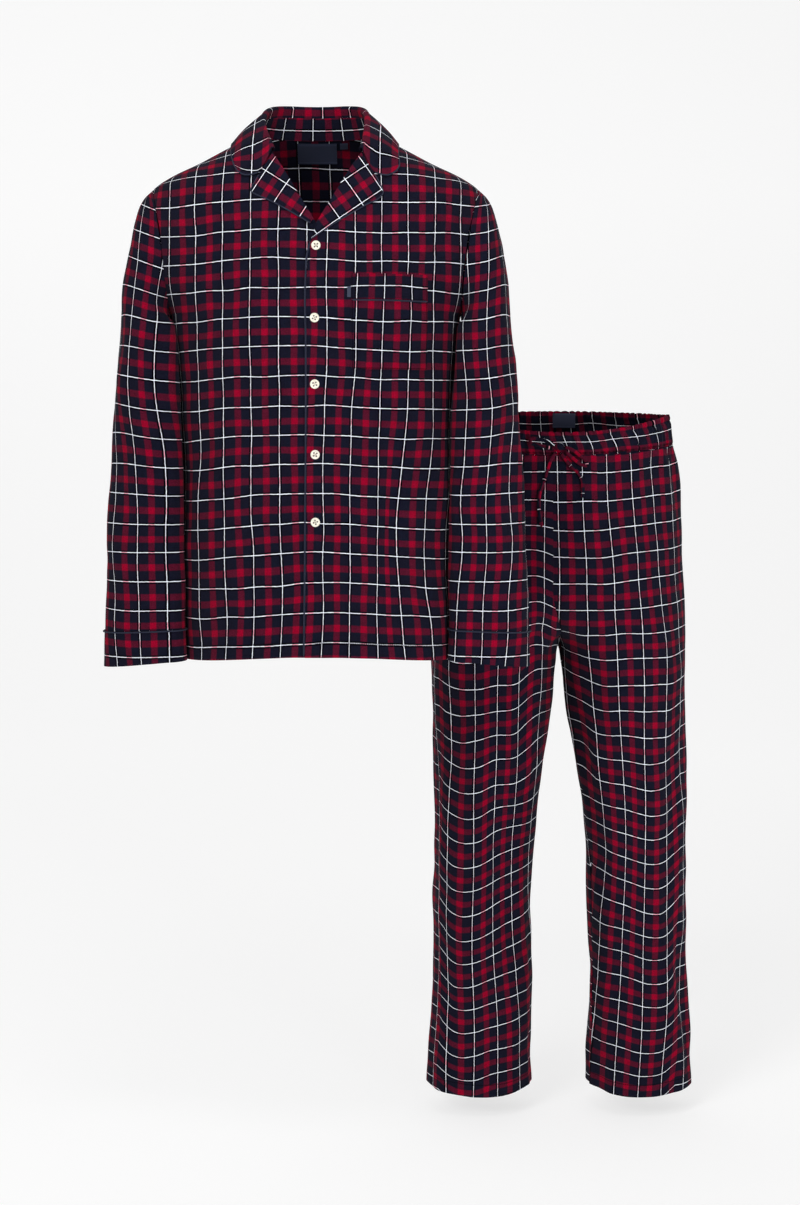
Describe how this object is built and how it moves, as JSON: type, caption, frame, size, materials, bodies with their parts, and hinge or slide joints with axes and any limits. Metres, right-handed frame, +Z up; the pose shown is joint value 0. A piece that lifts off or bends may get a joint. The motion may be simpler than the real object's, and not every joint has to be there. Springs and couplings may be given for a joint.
{
  "type": "pyjama set",
  "caption": "Pyjama set: long-sleeved button-front shirt with notched collar, chest pocket and piped cuffs, and straight drawstring trousers, both filled out and hollow.",
  "frame": {"origin": "middle of the shirt's neck at the height of its shoulder points, where the wearer's shoulders hold it up", "axes": "+Z up, the fronts look along -Y, +X is the wearer's left"},
  "size_m": [0.874, 0.5273, 1.4825],
  "materials": {
    "flannel": "brushed cotton, dark red and navy check",
    "piping": "matt woven piping",
    "button": "pale polished resin",
    "label": "woven tape"
  },
  "bodies": {
    "root": {"shirt_back": "flannel", "shirt_front_left": "flannel", "shirt_front_right": "flannel", "sleeve_left": "flannel", "sleeve_right": "flannel", "cuff_left": "flannel", "cuff_right": "flannel", "collar": "flannel", "lapel_left": "flannel", "lapel_right": "flannel", "chest_pocket": "flannel", "pocket_band": "flannel", "trouser_front_left": "flannel", "trouser_front_right": "flannel", "trouser_back_left": "flannel", "trouser_back_right": "flannel", "waistband": "flannel", "drawstring_knot": "flannel", "drawstring_loop_left": "flannel", "drawstring_loop_right": "flannel", "drawstring_end_left": "flannel", "drawstring_end_right": "flannel", "cuff_piping_left": "piping", "cuff_piping_right": "piping", "front_piping": "piping", "pocket_piping": "piping", "button_1": "button", "button_2": "button", "button_3": "button", "button_4": "button", "button_5": "button", "neck_label": "label", "size_tab": "label", "pocket_tab": "label", "waist_label": "label"}
  },
  "joints": []
}
